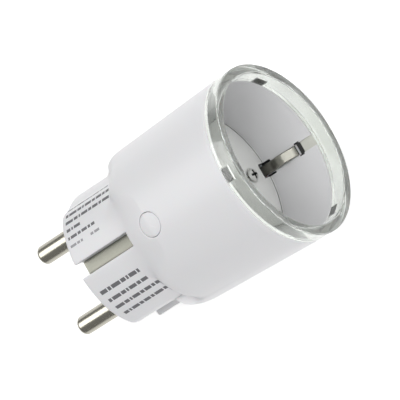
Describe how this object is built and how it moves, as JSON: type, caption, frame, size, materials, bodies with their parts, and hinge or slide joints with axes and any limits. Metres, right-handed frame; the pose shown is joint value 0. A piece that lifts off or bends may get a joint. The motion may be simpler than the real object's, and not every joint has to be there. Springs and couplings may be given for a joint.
{
  "type": "smart plug",
  "caption": "Round plug-in adaptor with pins and earth strips at one end, a socket recess with a clear light ring at the other and a push button on its side.",
  "frame": {"origin": "centre of the flat plug face that beds in the wall socket", "axes": "+Y into the wall, along the pins; -Y out of the socket recess; X along the line of the pins; +Z towards the push button"},
  "size_m": [0.0434, 0.0732, 0.0434],
  "materials": {
    "white_plastic": "satin",
    "grey_plastic": "satin",
    "clear_plastic": "clear, polished",
    "nickel": "nickel plated",
    "brass": "stamped",
    "steel": "zinc plated",
    "copper": "copper",
    "black_resin": "moulded",
    "board_green": "solder mask",
    "board_white": "solder mask",
    "relay_blue": "moulded",
    "aluminium": "satin",
    "ceramic_blue": "coated",
    "led_grey": "resin"
  },
  "bodies": {
    "base": {"housing": "white_plastic", "socket_insert": "white_plastic", "light_ring": "clear_plastic", "light_board": "board_white", "led_top": "led_grey", "led_lower_right": "led_grey", "led_lower_left": "led_grey", "plug_pin_right": "nickel", "plug_pin_left": "nickel", "pin_retainer": "grey_plastic", "receptacle_right": "brass", "receptacle_left": "brass", "earth_strip_top": "nickel", "earth_strip_bottom": "nickel", "earth_yoke": "brass", "earth_link": "brass", "earth_bridge": "steel", "floor_screw_top": "steel", "floor_screw_bottom": "steel", "shutter_carrier": "grey_plastic", "power_board": "board_green", "filter_capacitor": "aluminium", "inductor": "black_resin", "varistor": "ceramic_blue", "fusible_resistor": "ceramic_blue", "rectifier": "black_resin", "supply_chip": "black_resin", "metering_chip": "black_resin", "current_shunt": "copper", "relay_base": "black_resin", "relay_case": "relay_blue", "relay_coil": "copper", "relay_core": "steel", "relay_yoke": "steel", "relay_fixed_contact": "copper", "control_board": "board_green", "radio_chip": "black_resin", "crystal": "steel", "antenna": "copper", "board_header": "black_resin", "switch_base": "black_resin", "switch_cover": "steel"},
    "button": {"button_cap": "white_plastic"},
    "switch_plunger": {"switch_plunger": "black_resin"},
    "armature": {"relay_armature": "steel", "relay_contact_leaf": "copper"},
    "shutter": {"safety_shutter": "white_plastic", "shutter_spring": "steel"},
    "clip_top": {"earth_clip_top": "nickel"},
    "clip_bottom": {"earth_clip_bottom": "nickel"}
  },
  "joints": [
    {"name": "button_press", "type": "slide", "parent": "base", "child": "button", "axis": [0, 0, -1], "range_m": [0, 0.00035], "stiffness_N_per_m": 60},
    {"name": "switch_travel", "type": "slide", "parent": "base", "child": "switch_plunger", "axis": [0, 0, -1], "range_m": [0, 0.00035]},
    {"name": "armature_tip", "type": "hinge", "parent": "base", "child": "armature", "pos_m": [0, -0.0265, 0.0002], "axis": [1, 0, 0], "range_deg": [0, 4.5], "stiffness_Nm_per_rad": 0.0005},
    {"name": "shutter_turn", "type": "hinge", "parent": "base", "child": "shutter", "pos_m": [0, -0.0328, 0], "axis": [0, 1, 0], "range_deg": [0, 38], "stiffness_Nm_per_rad": 0.0005},
    {"name": "clip_top_flex", "type": "hinge", "parent": "base", "child": "clip_top", "pos_m": [0, -0.034, 0.01895], "axis": [-1, 0, 0], "range_deg": [0, 3.5], "stiffness_Nm_per_rad": 0.05},
    {"name": "clip_bottom_flex", "type": "hinge", "parent": "base", "child": "clip_bottom", "pos_m": [0, -0.034, -0.01895], "axis": [1, 0, 0], "range_deg": [0, 3.5], "stiffness_Nm_per_rad": 0.05}
  ],
  "couplings": [
    {"joint": "switch_travel", "follows": "button_press", "ratio": 1}
  ]
}
